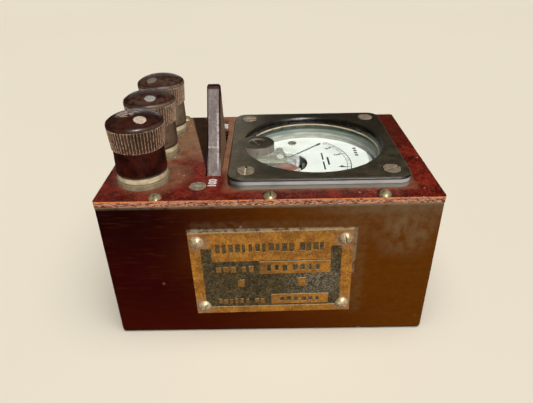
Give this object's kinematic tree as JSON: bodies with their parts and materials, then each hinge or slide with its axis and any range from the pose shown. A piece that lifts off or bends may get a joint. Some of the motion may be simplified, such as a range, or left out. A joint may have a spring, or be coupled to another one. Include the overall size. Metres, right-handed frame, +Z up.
{
  "type": "radio test meter unit",
  "caption": "Small wooden instrument box with a panel meter, knurled screw-down terminals and a lever switch on its top panel, and a plate on its front.",
  "frame": {"origin": "centre of the case's footprint at its bottom face, on the surface it stands on", "axes": "+X to the right seen from the side with the label plate, along the case's long side; +Y to the back; +Z up"},
  "size_m": [0.115, 0.0789, 0.0852],
  "materials": {
    "case_wood": "worn brown varnish",
    "panel_laminate": "satin maroon laminate, dusty",
    "screw_metal": "dull nickel",
    "label_metal": "blackened brass, rubbed",
    "knob_moulding": "polished dark brown moulding",
    "dot_enamel": "pale enamel filling",
    "terminal_collar": "dusty grey",
    "terminal_ring": "cream",
    "brass_turned": "turned, dull",
    "meter_moulding": "satin black moulding",
    "meter_glass": "clear",
    "meter_ring": "grey-green paint",
    "dial_paint": "white enamel",
    "magnet_steel": "rough dark steel",
    "soft_iron": "machined",
    "coil_copper": "enamelled copper",
    "pointer_paint": "black",
    "lever_moulding": "dark maroon moulding, rubbed grey",
    "bracket_steel": "plated sheet",
    "leaf_bronze": "rolled spring bronze",
    "fibre_board": "laminated board",
    "wire_cover": "red cover"
  },
  "bodies": {
    "unit": {"case_back_board": "case_wood", "case_base_board": "case_wood", "case_base_screws": "screw_metal", "case_corner_blocks": "case_wood", "case_front_board": "case_wood", "case_left_board": "case_wood", "case_right_board": "case_wood", "internal_wires": "wire_cover", "label_plate": "label_metal", "label_screws": "screw_metal", "meter_barrel": "meter_moulding", "meter_bezel": "meter_moulding", "meter_bottom_bridge": "brass_turned", "meter_core": "soft_iron", "meter_dial": "dial_paint", "meter_dial_screws": "screw_metal", "meter_flange_nuts": "screw_metal", "meter_flange_screws": "screw_metal", "meter_glass": "meter_glass", "meter_inner_ring": "meter_ring", "meter_jewel_screws": "brass_turned", "meter_magnet": "magnet_steel", "meter_pole_shoes": "soft_iron", "meter_stud_nuts": "brass_turned", "meter_studs": "brass_turned", "meter_thermocouple": "fibre_board", "meter_top_bridge": "brass_turned", "panel_screws": "screw_metal", "switch_back_leaves": "leaf_bronze", "switch_block_screws": "screw_metal", "switch_bracket": "bracket_steel", "switch_contact_block": "fibre_board", "switch_front_leaves": "leaf_bronze", "switch_panel_screws": "screw_metal", "switch_pivot_pin": "bracket_steel", "terminal_bases": "terminal_collar", "terminal_nuts": "brass_turned", "terminal_seats": "terminal_ring", "terminal_stems": "brass_turned", "terminal_tags": "brass_turned", "terminal_washers": "brass_turned", "top_panel": "panel_laminate"},
    "lever": {"switch_lever": "lever_moulding", "switch_roller": "bracket_steel"},
    "movement": {"meter_coil": "coil_copper", "meter_spindle": "soft_iron", "meter_hairsprings": "leaf_bronze", "meter_pointer": "pointer_paint"},
    "zero_screw": {"meter_zero_screw": "brass_turned"},
    "zero_arm": {"meter_zero_arm": "brass_turned"},
    "front_insert": {"front_terminal_insert": "brass_turned"},
    "front_head": {"front_terminal_head": "knob_moulding", "front_terminal_dot": "dot_enamel"},
    "middle_insert": {"middle_terminal_insert": "brass_turned"},
    "middle_head": {"middle_terminal_head": "knob_moulding", "middle_terminal_dot": "dot_enamel"},
    "back_insert": {"back_terminal_insert": "brass_turned"},
    "back_head": {"back_terminal_head": "knob_moulding", "back_terminal_dot": "dot_enamel"}
  },
  "joints": [
    {"name": "lever_rock", "type": "hinge", "parent": "unit", "child": "lever", "pos_m": [-0.0195, 0, 0.03145], "axis": [-1, 0, 0], "range_deg": [0, 25]},
    {"name": "front_head_lift", "type": "slide", "parent": "unit", "child": "front_insert", "axis": [0, 0, 1], "range_m": [-0.0003, 0.004]},
    {"name": "front_head_turn", "type": "hinge", "parent": "front_insert", "child": "front_head", "pos_m": [-0.0439, -0.0226, 0.06315], "axis": [0, 0, 1], "range_deg": [-109, 1441]},
    {"name": "middle_head_lift", "type": "slide", "parent": "unit", "child": "middle_insert", "axis": [0, 0, 1], "range_m": [-0.00008, 0.004]},
    {"name": "middle_head_turn", "type": "hinge", "parent": "middle_insert", "child": "middle_head", "pos_m": [-0.0439, 0, 0.0629], "axis": [0, 0, 1], "range_deg": [-30, 1441]},
    {"name": "back_head_lift", "type": "slide", "parent": "unit", "child": "back_insert", "axis": [0, 0, 1], "range_m": [-0.0003, 0.004]},
    {"name": "back_head_turn", "type": "hinge", "parent": "back_insert", "child": "back_head", "pos_m": [-0.0439, 0.0226, 0.06315], "axis": [0, 0, 1], "range_deg": [-109, 1441]},
    {"name": "needle_swing", "type": "hinge", "parent": "unit", "child": "movement", "pos_m": [0.0047, -0.0003, 0.05315], "axis": [0, 0, -1], "range_deg": [0, 90], "stiffness_Nm_per_rad": 0.00005},
    {"name": "zero_turn", "type": "hinge", "parent": "unit", "child": "zero_screw", "pos_m": [-0.0042, -0.0003, 0.06175], "axis": [0, 0, 1], "range_deg": [-35, 35]},
    {"name": "zero_arm_swing", "type": "hinge", "parent": "unit", "child": "zero_arm", "pos_m": [0.0047, -0.0003, 0.05515], "axis": [0, 0, 1], "range_deg": [-6, 6]}
  ],
  "couplings": [
    {"joint": "front_head_turn", "follows": "front_head_lift", "rad_per_m": 6283.2},
    {"joint": "middle_head_turn", "follows": "middle_head_lift", "rad_per_m": 6283.2},
    {"joint": "back_head_turn", "follows": "back_head_lift", "rad_per_m": 6283.2},
    {"joint": "zero_arm_swing", "follows": "zero_turn", "ratio": -0.1558}
  ]
}
